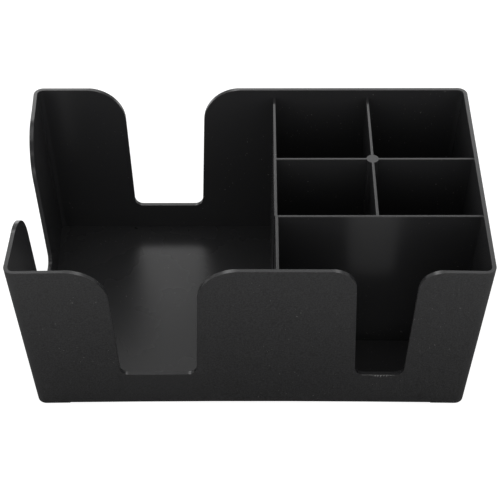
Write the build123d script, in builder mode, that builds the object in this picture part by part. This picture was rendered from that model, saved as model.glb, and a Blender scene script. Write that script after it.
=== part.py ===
"""Bar caddy: one tapered moulding with six open compartments, on four stuck-on rubber feet.

The origin is on the table, under the middle of the base. +X runs to the right along the long
side, +Y to the back and +Z up. All sizes are in millimetres.
"""
from build123d import *
from math import radians, tan
import os

# Shell: sizes over the rim, and the slope of its walls
rim_length = 241.3
rim_width = 146.05
shell_height = 105.95  # base edge to rim
side_draft = 2.9
front_draft = 3.8
wall = 2.2
rim_corner_radius = 5.2
base_corner_radius = 5.0
rim_round = 0.25

# The two sides with wide cut-outs bow inwards a little as the moulding cools
front_bow_rim = 1.35
front_bow_base = 1.05
left_bow_rim = 1.6
left_bow_base = 1.2

# Floor and underside
floor_rise = 8.2  # top of the floor above the base edge
floor_thickness = 2.4
corner_land_drop = 0.4  # the base stands lower on its four corners than between them
corner_land_length = 18.0

# Dividers: places are those of their middle planes
divider_thickness = 1.65
divider_draft = 0.6
divider_below_rim = 4.8
divider_round = 0.4
long_divider_x = 13.4
long_divider_step = 0.4  # its front length sits a little further right
short_divider_x = 65.4
back_cross_divider_y = 18.2
front_cross_divider_y = -26.5
ejector_pad_diameter = 6.4

# Finger cut-outs
cutout_rise = 24.0  # bottom of each cut-out above the base edge
cutout_draft = 2.0
cutout_bottom_radius = 5.0
napkin_cutout_x = -48.3
napkin_cutout_width = 40.0
napkin_shoulder_radius = 21.0
side_cutout_y = 0.5
side_cutout_width = 38.0
side_shoulder_radius = 23.5
right_cutout_x = 68.1
right_cutout_width = 25.6
right_shoulder_radius = 12.5

# Rubber feet on adhesive discs, seated in bosses under the floor
foot_stand = 2.0  # base edge above the table
foot_diameter = 12.7
foot_tip_diameter = 10.6
foot_height = 3.2
foot_round = 0.5
adhesive_diameter = 11.6
adhesive_thickness = 0.3
foot_inset = 17.0  # foot centre from the base edge, both ways
foot_boss_wall = 2.4
foot_recess_depth = 1.0
foot_clearance = 0.25

# Heights that follow
base_z = foot_stand
land_z = base_z - corner_land_drop
rim_z = base_z + shell_height
floor_z = base_z + floor_rise
under_floor_z = floor_z - floor_thickness
divider_z = rim_z - divider_below_rim
cutout_z = base_z + cutout_rise
recess_z = foot_height + adhesive_thickness
overrun = 2.0  # how far a cutting tool runs past what it cuts


def half_sizes(height, inset=0.0):
    """Half length and half width of the shell at a height, moved in by an inset."""
    drop = rim_z - height
    half_x = rim_length / 2 - drop * tan(radians(side_draft)) - inset
    half_y = rim_width / 2 - drop * tan(radians(front_draft)) - inset
    return half_x, half_y


def shell_outline(height, inset=0.0):
    """Plan outline of the shell at a height, with its bowed front and left sides."""
    half_x, half_y = half_sizes(height, inset)
    rise = (height - base_z) / shell_height
    front_bow = front_bow_base + (front_bow_rim - front_bow_base) * rise
    left_bow = left_bow_base + (left_bow_rim - left_bow_base) * rise
    corner_radius = base_corner_radius + (rim_corner_radius - base_corner_radius) * rise - inset
    with BuildSketch(Plane.XY.offset(height)) as outline:
        with BuildLine():
            Line((half_x, -half_y), (half_x, half_y))
            Line((half_x, half_y), (-half_x, half_y))
            ThreePointArc((-half_x, half_y), (-half_x + left_bow, 0), (-half_x, -half_y))
            ThreePointArc((-half_x, -half_y), (0, -half_y + front_bow), (half_x, -half_y))
        make_face()
        fillet(outline.vertices(), corner_radius)
    return outline.sketch


def divider_section(start, end):
    """Drafted section of a divider, on the plane at its start that faces its end."""
    along = Vector(*end) - Vector(*start)
    foot_z = floor_z - floor_thickness / 2
    top_half = divider_thickness / 2
    foot_half = top_half + (divider_z - foot_z) * tan(radians(divider_draft))
    with BuildSketch(Plane(start, x_dir=Vector(0, 0, 1).cross(along), z_dir=along)) as section:
        with BuildLine():
            Polyline(
                (-foot_half, foot_z),
                (foot_half, foot_z),
                (top_half, divider_z),
                (-top_half, divider_z),
                close=True,
            )
        make_face()
    return section.sketch


def cutout_profile(plane, width, shoulder_radius):
    """Outline of a finger cut-out: rounded bottom, leaning sides and large rounded shoulders."""
    depth = rim_z - cutout_z
    bottom_half = width / 2
    top_half = bottom_half + depth * tan(radians(cutout_draft))
    shoulder_half = top_half + shoulder_radius
    half_radii = [0, 0, shoulder_radius, cutout_bottom_radius]
    with BuildSketch(plane) as profile:
        with BuildLine():
            FilletPolyline(
                (-shoulder_half, rim_z + overrun),
                (-shoulder_half, rim_z),
                (-top_half, rim_z),
                (-bottom_half, cutout_z),
                (bottom_half, cutout_z),
                (top_half, rim_z),
                (shoulder_half, rim_z),
                (shoulder_half, rim_z + overrun),
                radius=half_radii + half_radii[::-1],
                close=True,
            )
        make_face()
    return profile.sketch


base_half_x, base_half_y = half_sizes(base_z)
foot_places = {
    "front_left": (-base_half_x + foot_inset, -base_half_y + foot_inset),
    "front_right": (base_half_x - foot_inset, -base_half_y + foot_inset),
    "back_left": (-base_half_x + foot_inset, base_half_y - foot_inset),
    "back_right": (base_half_x - foot_inset, base_half_y - foot_inset),
}

# Dividers and the ejector pad, cut to end inside the walls
with BuildPart() as dividers:
    back_y = rim_width / 2
    front_y = -rim_width / 2
    right_x = rim_length / 2
    front_length_x = long_divider_x + long_divider_step
    runs = [
        ((long_divider_x, back_y, 0), (long_divider_x, front_cross_divider_y, 0)),
        ((front_length_x, front_cross_divider_y, 0), (front_length_x, front_y, 0)),
        ((short_divider_x, back_y, 0), (short_divider_x, front_cross_divider_y, 0)),
        ((long_divider_x, back_cross_divider_y, 0), (right_x, back_cross_divider_y, 0)),
        ((long_divider_x, front_cross_divider_y, 0), (right_x, front_cross_divider_y, 0)),
    ]
    for start, end in runs:
        extrude(divider_section(start, end), amount=(Vector(*end) - Vector(*start)).length)
    pad_foot_z = floor_z - floor_thickness / 2
    pad_height = divider_z - pad_foot_z
    pad_radius = ejector_pad_diameter / 2
    with Locations((short_divider_x, back_cross_divider_y, pad_foot_z)):
        Cone(
            pad_radius + pad_height * tan(radians(divider_draft)),
            pad_radius,
            pad_height,
            align=(Align.CENTER, Align.CENTER, Align.MIN),
        )
    loft([shell_outline(land_z, wall / 2), shell_outline(rim_z, wall / 2)], mode=Mode.INTERSECT)
    fillet(dividers.edges().filter_by_position(Axis.Z, divider_z, divider_z), divider_round)

# The caddy's one-piece moulding
with BuildPart() as caddy_body:
    loft([shell_outline(land_z), shell_outline(rim_z)])
    loft([shell_outline(floor_z, wall), shell_outline(rim_z + overrun, wall)], mode=Mode.SUBTRACT)
    fillet(caddy_body.edges().filter_by_position(Axis.Z, rim_z, rim_z), rim_round)

    # Hollow underside, with bosses for the feet and lands at the four corners
    loft([shell_outline(land_z - overrun, wall), shell_outline(under_floor_z, wall)], mode=Mode.SUBTRACT)
    boss_z = recess_z - foot_recess_depth
    recess_radius = foot_diameter / 2 + foot_clearance
    for foot_x, foot_y in foot_places.values():
        with Locations((foot_x, foot_y, boss_z)):
            Cylinder(
                recess_radius + foot_boss_wall,
                floor_z - floor_thickness / 2 - boss_z,
                align=(Align.CENTER, Align.CENTER, Align.MIN),
            )
            Cylinder(
                recess_radius,
                foot_recess_depth,
                align=(Align.CENTER, Align.CENTER, Align.MIN),
                mode=Mode.SUBTRACT,
            )
    with Locations((0, 0, base_z)):
        for relief_x, relief_y in (
            (2 * (base_half_x - corner_land_length), rim_width),
            (rim_length, 2 * (base_half_y - corner_land_length)),
        ):
            Box(
                relief_x,
                relief_y,
                corner_land_drop + overrun,
                align=(Align.CENTER, Align.CENTER, Align.MAX),
                mode=Mode.SUBTRACT,
            )

    # Dividers, which meet the floor in sharp corners as the walls do
    add(dividers.part)

    # Finger cut-outs: the napkin compartment's back and front alike, its left side, and the
    # front of the right-hand compartment
    cut_back = rim_width / 2 + overrun
    cut_front = -cut_back
    napkin_plane = Plane((napkin_cutout_x, cut_back, 0), x_dir=(1, 0, 0), z_dir=(0, -1, 0))
    extrude(
        cutout_profile(napkin_plane, napkin_cutout_width, napkin_shoulder_radius),
        amount=cut_back - cut_front,
        mode=Mode.SUBTRACT,
    )
    cut_left = -rim_length / 2 - overrun
    side_plane = Plane((cut_left, side_cutout_y, 0), x_dir=(0, 1, 0), z_dir=(1, 0, 0))
    extrude(
        cutout_profile(side_plane, side_cutout_width, side_shoulder_radius),
        amount=napkin_cutout_x - cut_left,
        mode=Mode.SUBTRACT,
    )
    right_plane = Plane((right_cutout_x, cut_front, 0), x_dir=(-1, 0, 0), z_dir=(0, 1, 0))
    extrude(
        cutout_profile(right_plane, right_cutout_width, right_shoulder_radius),
        amount=(front_cross_divider_y - cut_front) / 2,
        mode=Mode.SUBTRACT,
    )

caddy_body.part.label = "caddy_body"
os.makedirs("parts", exist_ok=True)
export_step(caddy_body.part, "parts/caddy_body.step")

# Feet: a tapered rubber button with a rounded tip, and the adhesive disc that holds it
for place, (foot_x, foot_y) in foot_places.items():
    with BuildPart() as foot:
        with BuildSketch(Plane((foot_x, foot_y, 0))):
            Circle(foot_tip_diameter / 2)
        with BuildSketch(Plane((foot_x, foot_y, foot_height))):
            Circle(foot_diameter / 2)
        loft()
        fillet(foot.edges().group_by(Axis.Z)[0], foot_round)
    foot.part.label = f"foot_{place}"
    export_step(foot.part, f"parts/foot_{place}.step")

    with BuildPart() as adhesive:
        with BuildSketch(Plane((foot_x, foot_y, foot_height))):
            Circle(adhesive_diameter / 2)
        extrude(amount=adhesive_thickness)
    adhesive.part.label = f"adhesive_{place}"
    export_step(adhesive.part, f"parts/adhesive_{place}.step")
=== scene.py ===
# %% [markdown]
# # A bar caddy, dressed for its picture
#
# The object is one moulding in black ABS, open at the top, on four small rubber feet. The CAD
# model has its shape already. This lesson gives it its finishes and the small things that a
# moulding carries, then stands it in plain studio light. Every length is in metres.

import bpy
from math import cos, pi, radians, sin
from mathutils import Matrix, Vector


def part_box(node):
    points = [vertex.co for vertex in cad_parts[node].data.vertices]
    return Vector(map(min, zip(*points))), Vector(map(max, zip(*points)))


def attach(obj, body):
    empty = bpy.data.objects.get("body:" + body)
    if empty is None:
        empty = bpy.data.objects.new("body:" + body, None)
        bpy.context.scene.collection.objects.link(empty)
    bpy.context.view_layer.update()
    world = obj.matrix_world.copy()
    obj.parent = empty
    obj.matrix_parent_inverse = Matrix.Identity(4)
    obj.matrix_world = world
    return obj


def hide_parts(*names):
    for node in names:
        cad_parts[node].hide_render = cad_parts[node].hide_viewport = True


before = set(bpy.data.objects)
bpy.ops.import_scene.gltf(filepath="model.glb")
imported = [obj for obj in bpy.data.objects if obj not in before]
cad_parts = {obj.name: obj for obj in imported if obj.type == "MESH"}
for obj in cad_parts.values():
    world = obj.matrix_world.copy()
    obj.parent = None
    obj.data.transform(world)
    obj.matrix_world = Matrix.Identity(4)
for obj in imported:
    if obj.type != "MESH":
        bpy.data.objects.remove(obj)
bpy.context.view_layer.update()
print("CAD nodes:", sorted(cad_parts))

# %% [markdown]
# ## The camera
#
# A catalogue picture of a caddy is taken from in front and high up, so that every compartment
# shows. The place below comes from matching the rim, the base and the cut-outs of the CAD model
# to the picture. It is written as an orbit round a point on the object: how far round, how high,
# how far off, and a very small roll.

# %% Camera
azimuth = radians(0.33)
elevation = radians(44.39)
roll = radians(-0.26)
distance = 0.78864
target = Vector((-0.0001, -0.000175, 0.05305))
lens_mm = 103.54
sensor_mm = 36.0
nearest_shown = 0.01
farthest_shown = 20.0

back = Vector((sin(azimuth) * cos(elevation), -cos(azimuth) * cos(elevation), sin(elevation)))
level = Vector((cos(azimuth), sin(azimuth), 0.0))
rise = back.cross(level)
right = cos(roll) * level + sin(roll) * rise
up = -sin(roll) * level + cos(roll) * rise

camera_data = bpy.data.cameras.new("camera")
camera_data.lens = lens_mm
camera_data.sensor_width = sensor_mm
camera_data.clip_start = nearest_shown
camera_data.clip_end = farthest_shown
camera = bpy.data.objects.new("camera", camera_data)
bpy.context.scene.collection.objects.link(camera)
camera_turn = Matrix((right, up, back)).transposed().to_4x4()
camera.matrix_world = Matrix.Translation(target + distance * back) @ camera_turn
bpy.context.scene.camera = camera
print("camera at, mm:", [round(1000 * x, 1) for x in camera.matrix_world.translation])

# %% [markdown]
# ## Helpers for materials
#
# A colour is written as it would be picked from a screen, in sRGB hex, and turned to the linear
# values that the renderer adds up. A node tree is easier to read when one small function adds
# each node with its settings and its links.


# %% Colour and node helpers
def linear(hex_colour):
    """Linear RGBA of an sRGB hex colour."""
    channels = [int(hex_colour[i : i + 2], 16) / 255 for i in (1, 3, 5)]
    return [c / 12.92 if c <= 0.04045 else ((c + 0.055) / 1.055) ** 2.4 for c in channels] + [1.0]


def add(tree, kind, settings=None, **inputs):
    """Adds a node with its settings, and sets or links its inputs.

    An input goes by its name, or by its number as _0, _1 and so on. It takes a value, a socket to
    link from, or a node, which stands for that node's first output.
    """
    node = tree.nodes.new(kind)
    for name, value in (settings or {}).items():
        setattr(node, name, value)
    for name, value in inputs.items():
        socket = node.inputs[int(name[1:]) if name[1:].isdigit() else name.replace("_", " ")]
        if isinstance(value, bpy.types.Node):
            value = value.outputs[0]
        if isinstance(value, bpy.types.NodeSocket):
            tree.links.new(value, socket)
        else:
            socket.default_value = value
    return node


def new_material(name):
    """An empty node material, and its tree."""
    material = bpy.data.materials.new(name)
    material.use_nodes = True
    material.node_tree.nodes.clear()
    return material, material.node_tree


print("#808080 in linear light:", round(linear("#808080")[0], 3))

# %% [markdown]
# ## Black ABS, spark-eroded outside and smooth inside
#
# The outside of the mould was spark eroded, which leaves a fine even matte: it scatters light
# widely and looks charcoal. The cores that made the compartments were stoned smooth along their
# sides and a little less so on their ends, so the inside shows blurred reflections of what is
# bright round it, on the floors a little more blurred than on the walls. Edges that face up, at
# the rim, on the dividers and in the cut-outs, are as smooth as the walls.
#
# The moulding is one CAD node, so one material holds all of these. Which of them a point has can
# be worked out from its place, because the walls lean at a known draft, and from where its
# surface faces.

# %% Where the outer skin ends
rim_half_x = 0.12065
rim_half_y = 0.073025
rim_height = 0.10795
side_slope = 0.05066  # tangent of the draft of the two ends
front_slope = 0.06642  # tangent of the draft of the front and back
skin_depth = 0.0019  # past the bow of the outer face, and short of the wall's inner face
skin_blur = 0.0001
floor_limit = 0.012  # above the compartments' floors, and below every other face that looks up
edge_faces_up = (0.3, 0.6)  # how much of a normal points up, from a wall to an edge that faces up
floor_faces_up = (0.8, 0.9)


def inside_wall(tree, across, height, half, slope):
    """How far a point lies inside a leaning wall, from its place across the object."""
    drop = add(tree, "ShaderNodeMath", {"operation": "SUBTRACT"}, _0=rim_height, _1=height)
    lean = add(tree, "ShaderNodeMath", {"operation": "MULTIPLY"}, _0=drop, _1=slope)
    wall = add(tree, "ShaderNodeMath", {"operation": "SUBTRACT"}, _0=half, _1=lean)
    off_centre = add(tree, "ShaderNodeMath", {"operation": "ABSOLUTE"}, _0=across)
    return add(tree, "ShaderNodeMath", {"operation": "SUBTRACT"}, _0=wall, _1=off_centre)


def face_masks(tree, place):
    """Two masks: the outer skin without its edges that face up, and the compartments' floors."""
    x, y, z = add(tree, "ShaderNodeSeparateXYZ", _0=place).outputs
    from_side = inside_wall(tree, x, z, rim_half_x, side_slope)
    from_front = inside_wall(tree, y, z, rim_half_y, front_slope)
    depth = add(tree, "ShaderNodeMath", {"operation": "MINIMUM"}, _0=from_side, _1=from_front)
    outside = add(
        tree,
        "ShaderNodeMapRange",
        Value=depth,
        From_Min=skin_depth - skin_blur,
        From_Max=skin_depth + skin_blur,
        To_Min=1.0,
        To_Max=0.0,
    )
    normal = add(tree, "ShaderNodeNewGeometry").outputs["Normal"]
    facing_up = add(tree, "ShaderNodeSeparateXYZ", _0=normal).outputs["Z"]
    edge_start, edge_end = edge_faces_up
    not_an_edge = add(
        tree,
        "ShaderNodeMapRange",
        Value=facing_up,
        From_Min=edge_start,
        From_Max=edge_end,
        To_Min=1.0,
        To_Max=0.0,
    )
    skin = add(tree, "ShaderNodeMath", {"operation": "MULTIPLY"}, _0=outside, _1=not_an_edge)
    low = add(tree, "ShaderNodeMath", {"operation": "LESS_THAN"}, _0=z, _1=floor_limit)
    flat_start, flat_end = floor_faces_up
    flat = add(
        tree, "ShaderNodeMapRange", Value=facing_up, From_Min=flat_start, From_Max=flat_end
    )
    on_floor = add(tree, "ShaderNodeMath", {"operation": "MULTIPLY"}, _0=low, _1=flat)
    return skin, on_floor


abs_material, tree = new_material("black_abs_injection_moulded")
place = add(tree, "ShaderNodeTexCoord").outputs["Object"]
matte, on_floor = face_masks(tree, place)
print("the masks took", len(tree.nodes), "nodes")

# %% [markdown]
# The grain of a spark-eroded face is about 0.1 mm. It is drawn at 0.8 mm here, because finer
# grain than that is lost between the pixels of the picture. Slow clouds stand for the uneven
# polish of the cores, and the peaks of a third noise give a few specks of dust, each about 1 mm
# across, in some of the clouds only.

# %% Grain, clouds and dust
grain_size, grain_detail = 0.0008, 2.0
cloud_size, cloud_detail = 0.03, 3.0
dust_size, dust_detail = 0.0011, 1.0
dust_peak = {"From_Min": 0.74, "From_Max": 0.78}  # the very highest of its noise
dusty_cloud = {"From_Min": 0.45, "From_Max": 0.6}
dust_cover = 0.5  # of the colour under it, where dust is thickest

noises = ((grain_size, grain_detail), (cloud_size, cloud_detail), (dust_size, dust_detail))
grain, cloud, speck = [
    add(tree, "ShaderNodeTexNoise", Vector=place, Scale=1 / size, Detail=detail).outputs["Fac"]
    for size, detail in noises
]
dust_grain = add(tree, "ShaderNodeMapRange", Value=speck, **dust_peak)
dusty_place = add(tree, "ShaderNodeMapRange", Value=cloud, **dusty_cloud, To_Max=dust_cover)
dust = add(tree, "ShaderNodeMath", {"operation": "MULTIPLY"}, _0=dust_grain, _1=dusty_place)
print("grain, clouds and dust, mm:", [round(1000 * size, 1) for size, _ in noises])

# %% [markdown]
# Spark erosion gives a roughness of about 0.5 to 0.6, where a stoned core gives 0.2 to 0.25. The
# pits of the matte skin are painted darker than its peaks: painted shade in the pits, which makes
# the skin read darker than the smooth plastic. The refractive index is that of ABS.

# %% Black ABS material
abs_colour = linear("#2f2f30")
# painted shade: the pits of the grain get this much darker colour
abs_pit_shade_colour = linear("#0e0e0f")
abs_peak_colour = linear("#2e2e2f")
dust_colour = linear("#8c8b88")
abs_ior = 1.54
matte_roughness_limits = {"To_Min": 0.48, "To_Max": 0.62}
wall_roughness_limits = {"To_Min": 0.20, "To_Max": 0.25}
floor_extra_roughness = 0.05
noise_spread = {"From_Min": 0.3, "From_Max": 0.7}  # where nearly all of a noise's values lie
noise_middle = {"From_Min": 0.35, "From_Max": 0.65}  # a little less, for stronger contrast
smooth_relief = 0.02
matte_relief = 0.35
grain_depth = grain_size / 4
mix_colours = {"data_type": "RGBA"}

matte_roughness = add(
    tree, "ShaderNodeMapRange", Value=grain, **noise_spread, **matte_roughness_limits
)
wall_roughness = add(
    tree, "ShaderNodeMapRange", Value=cloud, **noise_spread, **wall_roughness_limits
)
smooth_roughness = add(
    tree,
    "ShaderNodeMath",
    {"operation": "MULTIPLY_ADD"},
    _0=on_floor,
    _1=floor_extra_roughness,
    _2=wall_roughness,
)
roughness = add(
    tree,
    "ShaderNodeMix",
    {"data_type": "FLOAT"},
    Factor=matte,
    _2=smooth_roughness,
    _3=matte_roughness,
)
# painted shade in the grain's pits, mixed from the dark pit colour up to the peak colour
pit_shade_to_peak = add(tree, "ShaderNodeMapRange", Value=grain, **noise_middle)
skin_colour_with_pit_shade = add(
    tree, "ShaderNodeMix", mix_colours, Factor=pit_shade_to_peak, _6=abs_pit_shade_colour, _7=abs_peak_colour
).outputs[2]
clean_colour = add(
    tree, "ShaderNodeMix", mix_colours, Factor=matte, _6=abs_colour, _7=skin_colour_with_pit_shade
).outputs[2]
colour = add(
    tree, "ShaderNodeMix", mix_colours, Factor=dust, _6=clean_colour, _7=dust_colour
).outputs[2]
relief = add(
    tree, "ShaderNodeMapRange", Value=matte, To_Min=smooth_relief, To_Max=matte_relief
)
bump = add(tree, "ShaderNodeBump", Strength=relief, Distance=grain_depth, Height=grain)
shader = add(
    tree,
    "ShaderNodeBsdfPrincipled",
    Base_Color=colour,
    Roughness=roughness,
    IOR=abs_ior,
    Normal=bump,
)
add(tree, "ShaderNodeOutputMaterial", Surface=shader)

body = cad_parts["caddy_body"]
for slot in body.material_slots:
    slot.material = abs_material
print("caddy_body has", len(body.data.polygons), "faces and", len(body.material_slots), "slots")

# %% [markdown]
# ## Rubber feet
#
# Four round bumpers of black rubber were pressed in a mould and stuck into bosses under the
# base. Each is a turned shape, so its outline is drawn once and spun, with a dished middle and
# fine rings on the face that grips the table. Geometry Nodes then set one at each corner.

# %% One foot, spun from its outline
foot_low, foot_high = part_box("foot_front_left")
foot_centre = (foot_low + foot_high) / 2
foot_radius = (foot_high.x - foot_low.x) / 2
foot_top = foot_high.z
foot_tip_radius = 0.0053
foot_segments = 48
foot_outline = [  # radius and height, from the middle of the top to the middle of the dish
    (0.0, foot_top),
    (foot_radius, foot_top),
    (foot_radius - 0.0002, foot_top - 0.0005),
    (foot_tip_radius + 0.0001, 0.0005),
    (foot_tip_radius - 0.0001, 0.00015),
    (foot_tip_radius - 0.0005, 0.0),
    (0.0042, 0.0),
    (0.0040, 0.00025),
    (0.0037, 0.00025),
    (0.0035, 0.0),
    (0.0028, 0.0),
    (0.0024, 0.0003),
    (0.0012, 0.00045),
    (0.0, 0.0005),
]


def spun_mesh(name, outline, segments):
    """A closed mesh from an outline of (radius, height) points turned round the Z axis."""
    points = []
    rings = []
    for radius, height in outline:
        if radius == 0.0:
            rings.append([len(points)])
            points.append((0.0, 0.0, height))
        else:
            rings.append(list(range(len(points), len(points) + segments)))
            for step in range(segments):
                turn = 2 * pi * step / segments
                points.append((radius * cos(turn), radius * sin(turn), height))
    faces = []
    for first, second in zip(rings, rings[1:]):
        for step in range(segments):
            following = (step + 1) % segments
            corner = [first[step % len(first)], first[following % len(first)]]
            corner += [second[following % len(second)], second[step % len(second)]]
            faces.append(list(dict.fromkeys(corner)))  # a face at a pole has three corners
    mesh = bpy.data.meshes.new(name)
    mesh.from_pydata(points, [], faces)
    mesh.validate()
    mesh.shade_smooth()
    return mesh


foot_mesh = spun_mesh("foot_outline_spun", foot_outline, foot_segments)
foot_pattern = bpy.data.objects.new("foot_pattern", foot_mesh)
print("one foot has", len(foot_mesh.polygons), "faces")

# %% [markdown]
# The rubber is vulcanised in its mould and stays a little dusty: nearly black, quite matte, and
# faintly mottled at about 1.5 mm. Its refractive index is that of natural rubber.

# %% Rubber material
rubber_mottle_size, rubber_mottle_detail = 0.0015, 4.0
rubber_dust = {"From_Min": 0.35, "From_Max": 0.7}
rubber_colour = linear("#171718")
dusty_rubber_colour = linear("#2a2a2b")
rubber_roughness_limits = {"To_Min": 0.7, "To_Max": 0.85}
rubber_ior = 1.52
rubber_relief = 0.3
rubber_relief_height = 0.0001

rubber_material, tree = new_material("black_rubber_vulcanised")
place = add(tree, "ShaderNodeTexCoord").outputs["Object"]
mottle = add(
    tree,
    "ShaderNodeTexNoise",
    Vector=place,
    Scale=1 / rubber_mottle_size,
    Detail=rubber_mottle_detail,
).outputs["Fac"]
dusty = add(tree, "ShaderNodeMapRange", Value=mottle, **rubber_dust)
colour = add(
    tree, "ShaderNodeMix", mix_colours, Factor=dusty, _6=rubber_colour, _7=dusty_rubber_colour
).outputs[2]
roughness = add(
    tree, "ShaderNodeMapRange", Value=mottle, **noise_spread, **rubber_roughness_limits
)
bump = add(
    tree, "ShaderNodeBump", Strength=rubber_relief, Distance=rubber_relief_height, Height=mottle
)
shader = add(
    tree,
    "ShaderNodeBsdfPrincipled",
    Base_Color=colour,
    Roughness=roughness,
    IOR=rubber_ior,
    Normal=bump,
)
add(tree, "ShaderNodeOutputMaterial", Surface=shader)
print(rubber_material.name, "has", len(tree.nodes), "nodes")

# %% [markdown]
# ## Geometry Nodes
#
# What repeats is made by a node tree, with its sizes as named inputs. The tree runs once, on an
# empty mesh, and its result is kept as a plain mesh, because the export takes meshes only.


# %% Geometry Nodes helpers
def new_tree(name, given):
    """A geometry tree with named inputs, each with its kind of socket and a value or None."""
    tree = bpy.data.node_groups.new(name, "GeometryNodeTree")
    tree.interface.new_socket("Geometry", in_out="OUTPUT", socket_type="NodeSocketGeometry")
    for label, (kind, value) in given.items():
        socket = tree.interface.new_socket(label, in_out="INPUT", socket_type=kind)
        if value is not None:
            socket.default_value = value
    return tree


def finish_tree(tree, instances, material):
    """Ends a tree: instances are made real and given their material."""
    real = add(tree, "GeometryNodeRealizeInstances", _0=instances)
    done = add(tree, "GeometryNodeSetMaterial", Geometry=real, Material=material)
    add(tree, "NodeGroupOutput", _0=done)


def grown(name, tree, settings):
    """Runs a tree with its inputs set by identifier, and keeps the result as a mesh piece."""
    carrier = bpy.data.objects.new(name + "_carrier", bpy.data.meshes.new(name + "_carrier"))
    bpy.context.scene.collection.objects.link(carrier)
    modifier = carrier.modifiers.new("nodes", "NODES")
    modifier.node_group = tree
    sockets = [item for item in tree.interface.items_tree if item.item_type == "SOCKET"]
    identifiers = {socket.name: socket.identifier for socket in sockets}
    for key, value in settings.items():
        modifier[identifiers[key]] = value
    graph = bpy.context.evaluated_depsgraph_get()
    mesh = bpy.data.meshes.new_from_object(carrier.evaluated_get(graph))
    carrier.modifiers.remove(modifier)
    bpy.data.objects.remove(carrier)
    mesh.name = name
    piece = bpy.data.objects.new(name, mesh)
    bpy.context.scene.collection.objects.link(piece)
    print(name, "has", len(mesh.polygons), "faces")
    return piece


# %% [markdown]
# The feet stand at the corners of a rectangle, which is a grid of two points by two. Its sides
# come from where the CAD model has its feet.

# %% Feet set at the corners
feet_tree = new_tree(
    "four_feet",
    {
        "Spacing X": ("NodeSocketFloat", 0.1),
        "Spacing Y": ("NodeSocketFloat", 0.1),
        "Foot": ("NodeSocketObject", None),
        "Rubber": ("NodeSocketMaterial", None),
    },
)
given = add(feet_tree, "NodeGroupInput").outputs
corners = add(
    feet_tree,
    "GeometryNodeMeshGrid",
    Size_X=given["Spacing X"],
    Size_Y=given["Spacing Y"],
    Vertices_X=2,
    Vertices_Y=2,
)
foot_shape = add(feet_tree, "GeometryNodeObjectInfo", Object=given["Foot"]).outputs["Geometry"]
feet_set = add(
    feet_tree, "GeometryNodeInstanceOnPoints", Points=corners.outputs["Mesh"], Instance=foot_shape
)
finish_tree(feet_tree, feet_set, given["Rubber"])

feet = grown(
    "rubber_feet",
    feet_tree,
    {
        "Spacing X": 2 * abs(foot_centre.x),
        "Spacing Y": 2 * abs(foot_centre.y),
        "Foot": foot_pattern,
        "Rubber": rubber_material,
    },
)
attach(feet, "root")
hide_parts("foot_front_left", "foot_front_right", "foot_back_left", "foot_back_right")

# %% [markdown]
# ## Adhesive discs
#
# Each foot is held by a disc die-cut from acrylic adhesive film. Only its edge could show, as a
# thin, milky, slightly tacky line. The CAD model's own discs have the right shape, so they keep
# it and only get this material. The film's streaks are finer than a millimetre.

# %% Adhesive material
film_streak_size, film_streak_detail = 0.0008, 2.0
film_colour = linear("#8d8b84")
pale_film_colour = linear("#b9b7ae")
film_roughness_limits = {"To_Min": 0.35, "To_Max": 0.5}
film_ior = 1.47

adhesive_material, tree = new_material("acrylic_adhesive_film_die_cut")
place = add(tree, "ShaderNodeTexCoord").outputs["Object"]
streak = add(
    tree,
    "ShaderNodeTexNoise",
    Vector=place,
    Scale=1 / film_streak_size,
    Detail=film_streak_detail,
).outputs["Fac"]
colour = add(
    tree, "ShaderNodeMix", mix_colours, Factor=streak, _6=film_colour, _7=pale_film_colour
).outputs[2]
roughness = add(
    tree, "ShaderNodeMapRange", Value=streak, **noise_spread, **film_roughness_limits
)
shader = add(
    tree, "ShaderNodeBsdfPrincipled", Base_Color=colour, Roughness=roughness, IOR=film_ior
)
add(tree, "ShaderNodeOutputMaterial", Surface=shader)

discs = [node for name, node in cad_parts.items() if name.startswith("adhesive_")]
for disc in discs:
    for slot in disc.material_slots:
        slot.material = adhesive_material
print(len(discs), "adhesive discs")

# %% [markdown]
# ## Torn flash at one cut-out
#
# The bottom edge of the right-hand cut-out wasn't trimmed clean. A ragged lip of flash stands
# out along it, with a tuft of longer slivers. The lip is many small slivers of one shape. Each
# grows from the wall's real face, which is found by casting a ray at it, from just inside the
# face so that no gap shows.

# %% Where the slivers grow
bpy.context.view_layer.update()
edge_z = 0.02593  # just under the bottom face of the cut-out
lip_ends = (0.0594, 0.0762)
lip_count = 44
tuft_ends = (0.0662, 0.0722)
tuft_count = 5
root_depth = 0.0001
ray_start_y = -0.2


def wall_points(ends, count):
    """Points just inside the front wall's outer face, along the cut-out's bottom edge."""
    left, right = ends
    points = []
    for step in range(count):
        x = left + (right - left) * step / (count - 1)
        hit, place, _, _ = body.ray_cast(Vector((x, ray_start_y, edge_z)), Vector((0, 1, 0)))
        assert hit, "the ray missed the front wall"
        points.append(place + Vector((0, root_depth, 0)))
    return points


def point_cloud(name, points):
    """An object that holds only points, for a tree to read."""
    mesh = bpy.data.meshes.new(name)
    mesh.from_pydata(points, [], [])
    return bpy.data.objects.new(name, mesh)


lip_roots = point_cloud("lip_roots", wall_points(lip_ends, lip_count))
tuft_roots = point_cloud("tuft_roots", wall_points(tuft_ends, tuft_count))
print("slivers grow from, mm:", [round(1000 * c, 2) for c in lip_roots.data.vertices[0].co])

# %% [markdown]
# One sliver is a flat spike that narrows in two steps, from its root towards -Y. It has three
# stations of four corners each, with a face between each pair of stations and one at each end.

# %% One sliver
sliver_length = 0.0004
bend_at = 0.55  # of the length
root_half = (0.00026, 0.00004)  # half width and half thickness
bend_half = (0.00020, 0.00004)
tip_half = (0.00004, 0.000015)

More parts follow.
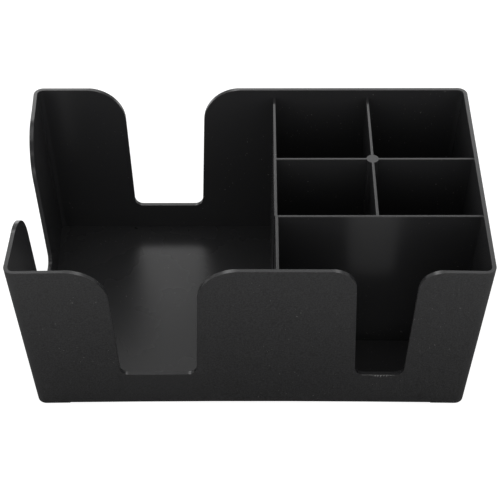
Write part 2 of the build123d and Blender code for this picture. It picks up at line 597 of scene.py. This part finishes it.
sliver_stations = [
    (0.0, root_half),
    (bend_at * sliver_length, bend_half),
    (sliver_length, tip_half),
]
sliver_corners = []
for reach, (half_width, half_thickness) in sliver_stations:
    for side, lift in ((-1, -1), (1, -1), (1, 1), (-1, 1)):
        sliver_corners.append((side * half_width, -reach, lift * half_thickness))
sliver_faces = [(0, 1, 2, 3), (8, 11, 10, 9)]
for first in (0, 4):
    for corner in range(4):
        after = (corner + 1) % 4
        sliver_faces.append((first + corner, first + 4 + corner, first + 4 + after, first + after))
sliver_mesh = bpy.data.meshes.new("sliver")
sliver_mesh.from_pydata(sliver_corners, [], sliver_faces)
sliver_mesh.validate()
sliver = bpy.data.objects.new("sliver", sliver_mesh)
print("a sliver has", len(sliver_mesh.polygons), "faces")

# %% [markdown]
# ABS that is stretched until it tears opens up inside in countless tiny cracks, which scatter
# light and turn it pale. The slivers' pale grey is also a painted highlight, standing in for the
# glints that catch along this torn edge. So the slivers are grey where the moulding is black, and
# unevenly so.
# The unevenness is about 0.6 mm wide, which is half the length of the longest sliver.

# %% Torn ABS material
stretch_size, stretch_detail = 0.0006, 2.0
# partly painted highlight: these pale greys stand in for glints along the torn edge, as well as
# for whitened ABS
torn_glint_colour = linear("#5a5a5a")
whitened_glint_colour = linear("#8c8c8a")
torn_roughness_limits = {"To_Min": 0.4, "To_Max": 0.55}

torn_glint_material, tree = new_material("black_abs_torn_whitened_painted_glint")
place = add(tree, "ShaderNodeTexCoord").outputs["Object"]
stretch = add(
    tree, "ShaderNodeTexNoise", Vector=place, Scale=1 / stretch_size, Detail=stretch_detail
).outputs["Fac"]
whitened_glint_mix = add(tree, "ShaderNodeMapRange", Value=stretch, **noise_middle)
colour = add(
    tree, "ShaderNodeMix", mix_colours, Factor=whitened_glint_mix, _6=torn_glint_colour, _7=whitened_glint_colour
).outputs[2]
roughness = add(
    tree, "ShaderNodeMapRange", Value=stretch, **noise_spread, **torn_roughness_limits
)
shader = add(
    tree, "ShaderNodeBsdfPrincipled", Base_Color=colour, Roughness=roughness, IOR=abs_ior
)
add(tree, "ShaderNodeOutputMaterial", Surface=shader)
print(torn_glint_material.name, "has", len(tree.nodes), "nodes")

# %% [markdown]
# Geometry Nodes turn and size every sliver at random, from fixed seeds, so that each run gives
# the same lip. Those of the tuft bend down further, and are longer and thicker.


# %% Slivers set along the edge
def scattered(tree, roots, shape, turns, sizes, seed):
    """A shape on every root, with its own turn and size drawn at random between two limits."""
    points = add(tree, "GeometryNodeObjectInfo", Object=roots).outputs["Geometry"]
    vectors = {"data_type": "FLOAT_VECTOR"}
    turn, size = (
        add(tree, "FunctionNodeRandomValue", vectors, _0=low, _1=high, Seed=number)
        for (low, high), number in ((turns, seed), (sizes, seed + 1))
    )
    spin = add(tree, "FunctionNodeEulerToRotation", _0=turn)
    return add(
        tree,
        "GeometryNodeInstanceOnPoints",
        Points=points,
        Instance=shape,
        Rotation=spin,
        Scale=size,
    )


flash_tree = new_tree(
    "torn_flash",
    {
        "Lip Roots": ("NodeSocketObject", None),
        "Tuft Roots": ("NodeSocketObject", None),
        "Sliver": ("NodeSocketObject", None),
        "Torn": ("NodeSocketMaterial", None),
    },
)
given = add(flash_tree, "NodeGroupInput").outputs
shape = add(flash_tree, "GeometryNodeObjectInfo", Object=given["Sliver"]).outputs["Geometry"]
lip_turns = ((radians(-5), 0.0, radians(-20)), (radians(25), 0.0, radians(20)))
lip_sizes = ((0.8, 0.5, 1.0), (1.2, 1.3, 1.0))
lip_seed = 3
lip = scattered(flash_tree, given["Lip Roots"], shape, lip_turns, lip_sizes, lip_seed)
tuft_turns = ((radians(25), radians(-15), radians(-30)), (radians(75), radians(15), radians(30)))
tuft_sizes = ((1.0, 1.8, 1.0), (1.7, 3.4, 2.0))
tuft_seed = 11
tuft = scattered(flash_tree, given["Tuft Roots"], shape, tuft_turns, tuft_sizes, tuft_seed)
joined = add(flash_tree, "GeometryNodeJoinGeometry")
for growth in (lip, tuft):
    flash_tree.links.new(growth.outputs[0], joined.inputs[0])
finish_tree(flash_tree, joined, given["Torn"])

flash = grown(
    "torn_flash_lip",
    flash_tree,
    {"Lip Roots": lip_roots, "Tuft Roots": tuft_roots, "Sliver": sliver, "Torn": torn_glint_material},
)
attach(flash, "root")

# %% [markdown]
# ## Floor
#
# The picture was taken on white. The floor keeps the soft shadow under the object, and a glow
# that only the camera sees brings the rest of it up to white. Another glow is there for
# reflections only. The matte front mirrors the floor before it, and in the picture it grows
# darker towards the table, so this glow starts a little way off and rises with the distance.

# %% Floor
floor_half = 3.0
paper_colour = linear("#b4b4b4")
white = (1, 1, 1, 1)
camera_glow_strength = 0.9
glow_start = 0.15
glow_full = 0.35
glow_full_strength = 1.05
painted_shade_shape = (0.6, 1.0, 0.0)  # the dark place is an ellipse, longer from side to side

floor_mesh = bpy.data.meshes.new("floor")
floor_corners = [(-floor_half, -floor_half, 0), (floor_half, -floor_half, 0)]
floor_corners += [(floor_half, floor_half, 0), (-floor_half, floor_half, 0)]
floor_mesh.from_pydata(floor_corners, [], [(0, 1, 2, 3)])
floor = bpy.data.objects.new("floor", floor_mesh)
bpy.context.scene.collection.objects.link(floor)

floor_material, tree = new_material("white_paper_floor")
spot = add(tree, "ShaderNodeTexCoord").outputs["Object"]
path = add(tree, "ShaderNodeLightPath").outputs
camera_glow = add(
    tree,
    "ShaderNodeMath",
    {"operation": "MULTIPLY"},
    _0=path["Is Camera Ray"],
    _1=camera_glow_strength,
)
mirrored = add(
    tree,
    "ShaderNodeMath",
    {"operation": "MAXIMUM"},
    _0=path["Is Glossy Ray"],
    _1=path["Is Transmission Ray"],
)
# painted shade: the glow seen in reflections is left out in an ellipse round the object, so the
# floor mirrors darker close to it
squeezed = add(tree, "ShaderNodeVectorMath", {"operation": "MULTIPLY"}, _0=spot, _1=painted_shade_shape)
far_off = add(tree, "ShaderNodeVectorMath", {"operation": "LENGTH"}, _0=squeezed).outputs["Value"]
mirrored_glow = add(
    tree,
    "ShaderNodeMapRange",
    Value=far_off,
    From_Min=glow_start,
    From_Max=glow_full,
    To_Max=glow_full_strength,
)
glow_strength = add(
    tree,
    "ShaderNodeMath",
    {"operation": "MULTIPLY_ADD"},
    _0=mirrored,
    _1=mirrored_glow,
    _2=camera_glow,
)
paper = add(tree, "ShaderNodeBsdfDiffuse", Color=paper_colour)
glow = add(tree, "ShaderNodeEmission", Color=white, Strength=glow_strength)
both = add(tree, "ShaderNodeAddShader", _0=paper, _1=glow)
add(tree, "ShaderNodeOutputMaterial", Surface=both)
floor_mesh.materials.append(floor_material)
print("floor,", 2 * floor_half, "m square")

# %% [markdown]
# ## World
#
# The world has three faces. To the camera it is plain white. As light it is a soft dome. Under an
# even dome the compartments' floors come out too bright beside their walls, so this one is
# bright near the horizon and dimmer overhead. In reflections it is a backdrop, which is behind
# the object and dimmer in front. Edges that face up mirror that backdrop, each at its own
# elevation, from 38 degrees for the back rim to 50 degrees for the front rim, and the napkin
# compartment's floor mirrors 44 to 50 degrees over the back cut-out. In the picture the back rim
# is the brightest of these and the front rim much darker. That gives the backdrop its bands:
# dark at its foot, brightest at 37 degrees, and dim above.

# %% World
dome_span = {"From_Min": 0.3, "From_Max": 0.9}  # how far up a direction points
dome_strengths = {"To_Min": 1.2, "To_Max": 0.15}
front_to_back = {"From_Min": -0.3, "From_Max": 0.2}
front_share = 0.35
left_to_middle = {"From_Min": -0.15, "From_Max": -0.05}
left_strength = 4.4
middle_strength = 3.0

world = bpy.data.worlds.new("studio")
bpy.context.scene.world = world
world.use_nodes = True
tree = world.node_tree
tree.nodes.clear()
path = add(tree, "ShaderNodeLightPath").outputs
direction = add(tree, "ShaderNodeTexCoord").outputs["Generated"]
along = add(tree, "ShaderNodeSeparateXYZ", _0=direction).outputs
dome = add(tree, "ShaderNodeMapRange", Value=along["Z"], **dome_span, **dome_strengths)
backdrop = add(
    tree, "ShaderNodeMapRange", Value=along["Y"], **front_to_back, To_Min=front_share
)
brightest = add(
    tree,
    "ShaderNodeMapRange",
    Value=along["X"],
    **left_to_middle,
    To_Min=left_strength,
    To_Max=middle_strength,
)
backdrop_bands = [  # from one elevation to another in degrees, and from one strength to another
    (31.0, 37.0, 0.1, 1.0),
    (37.5, 44.0, brightest, 0.8),
    (44.0, 47.5, 1.0, 0.38),
]
for low, high, strength_low, strength_high in backdrop_bands:
    band = add(
        tree,
        "ShaderNodeMapRange",
        Value=along["Z"],
        From_Min=sin(radians(low)),
        From_Max=sin(radians(high)),
        To_Min=strength_low,
        To_Max=strength_high,
    )
    backdrop = add(tree, "ShaderNodeMath", {"operation": "MULTIPLY"}, _0=backdrop, _1=band)
print("the backdrop has", len(backdrop_bands), "bands")

# %% [markdown]
# Light Path tells the three faces apart: seen by the camera, mirrored by the object, or neither,
# which is the light that falls on it.

# %% One world for the camera, for light and for reflections
seen = path["Is Camera Ray"]
mirrored = add(
    tree,
    "ShaderNodeMath",
    {"operation": "MAXIMUM"},
    _0=path["Is Glossy Ray"],
    _1=path["Is Transmission Ray"],
)
reflected = add(tree, "ShaderNodeMath", {"operation": "MULTIPLY"}, _0=mirrored, _1=backdrop)
either = add(tree, "ShaderNodeMath", {"operation": "MAXIMUM"}, _0=seen, _1=mirrored)
neither = add(tree, "ShaderNodeMath", {"operation": "SUBTRACT"}, _0=1.0, _1=either)
soft = add(tree, "ShaderNodeMath", {"operation": "MULTIPLY_ADD"}, _0=neither, _1=dome, _2=seen)
sky_strength = add(tree, "ShaderNodeMath", {"operation": "ADD"}, _0=soft, _1=reflected)
sky = add(tree, "ShaderNodeBackground", Color=white, Strength=sky_strength)
add(tree, "ShaderNodeOutputWorld", Surface=sky)
print("the world has", len(tree.nodes), "nodes")

# %% [markdown]
# ## Lamp
#
# One wide, weak lamp overhead and a little behind helps the dome, and gives the soft shadow its
# direction. The view transform is Standard, so that a colour renders as it is written.

# %% Lamp
lamp_place = Vector((0.0, 0.12, 1.1))
lamp_aim = Vector((0.0, 0.0, 0.05))
lamp_size = 0.8
lamp_watts = 1.8

lamp_data = bpy.data.lights.new("overhead", "AREA")
lamp_data.energy = lamp_watts
lamp_data.size = lamp_size
lamp = bpy.data.objects.new("overhead", lamp_data)
bpy.context.scene.collection.objects.link(lamp)
lamp.location = lamp_place
lamp.rotation_euler = (lamp_place - lamp_aim).to_track_quat("Z", "Y").to_euler()
bpy.context.scene.view_settings.view_transform = "Standard"
print("overhead lamp:", lamp_watts, "W,", lamp_size, "m square")
